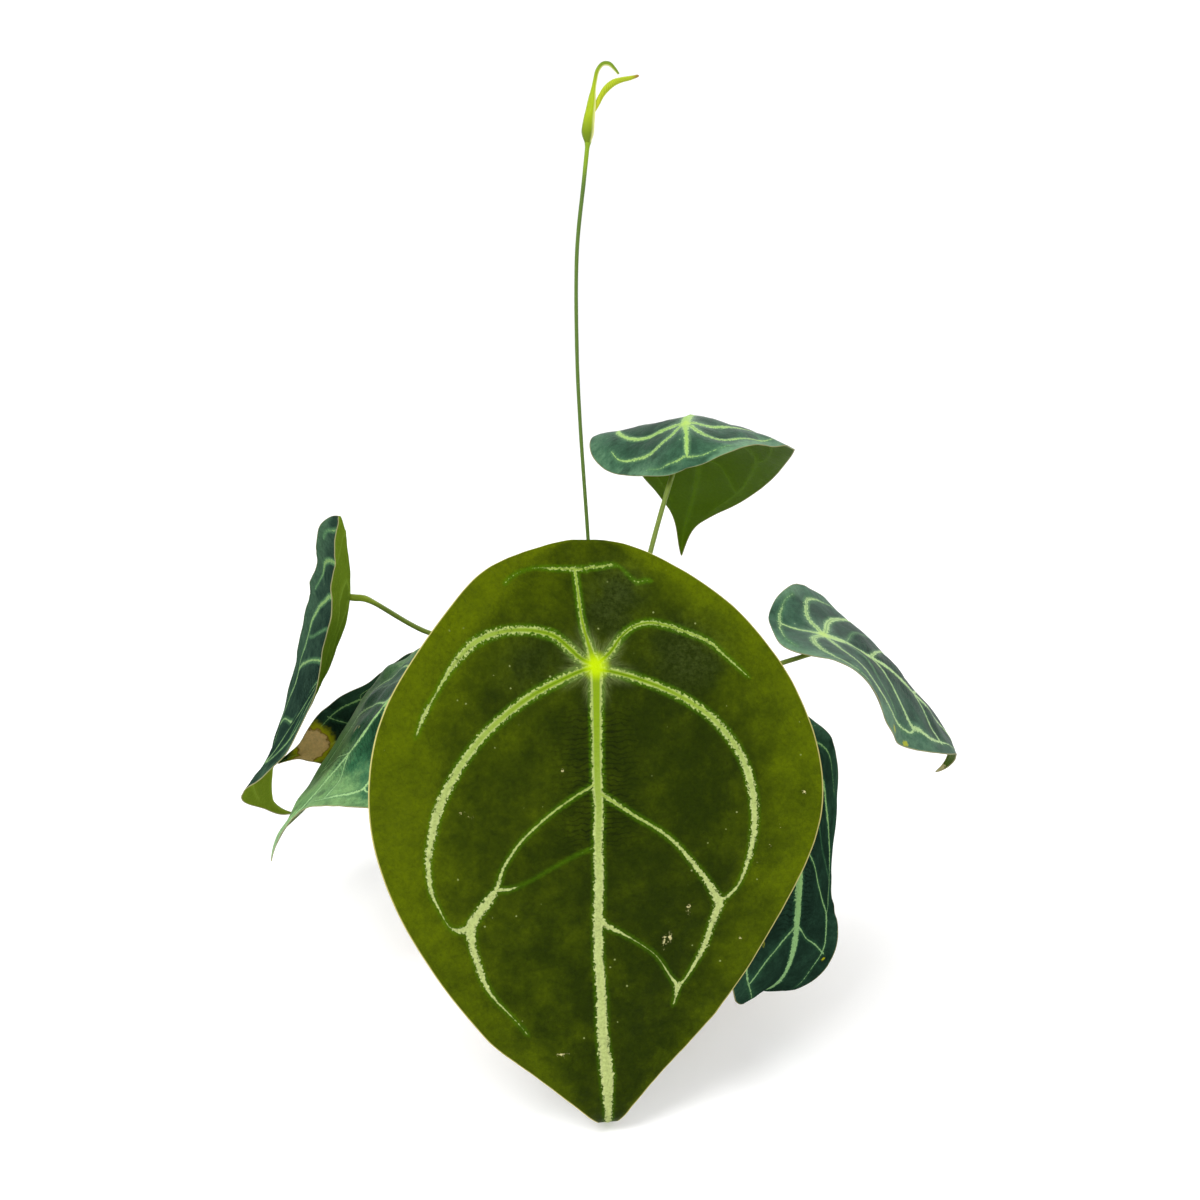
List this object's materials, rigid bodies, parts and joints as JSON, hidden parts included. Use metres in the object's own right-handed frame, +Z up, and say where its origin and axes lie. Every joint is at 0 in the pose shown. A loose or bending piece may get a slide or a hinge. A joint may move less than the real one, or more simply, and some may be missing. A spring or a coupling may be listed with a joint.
{
  "type": "potted anthurium forgetii",
  "caption": "Potted aroid with silver-veined, shield-shaped blades on long petioles and a slender hooked flower on a tall stalk, in a plain tapered clay pot.",
  "frame": {"origin": "centre of the pot's underside, on the surface that the plant stands on", "axes": "+Z up, +X to the right and -Y to the front, where the largest blade hangs"},
  "size_m": [0.4532, 0.3945, 0.5416],
  "materials": {
    "front_blade": "satin",
    "blade": "satin",
    "petiole": "satin",
    "spathe": "satin",
    "spadix": "matte",
    "crown": "matte",
    "soil": "matte",
    "clay": "matte"
  },
  "bodies": {
    "root": {"pot": "clay", "soil": "soil", "crown": "crown", "petiole_front": "petiole", "blade_front": "front_blade", "petiole_upper_right": "petiole", "blade_upper_right": "blade", "petiole_left_upper": "petiole", "blade_left_upper": "blade", "petiole_left_spotted": "petiole", "blade_left_spotted": "blade", "petiole_left_lower": "petiole", "blade_left_lower": "blade", "petiole_right": "petiole", "blade_right": "blade", "petiole_right_lower": "petiole", "blade_right_lower": "blade", "peduncle": "petiole", "spathe": "spathe", "spadix": "spadix"}
  },
  "joints": []
}
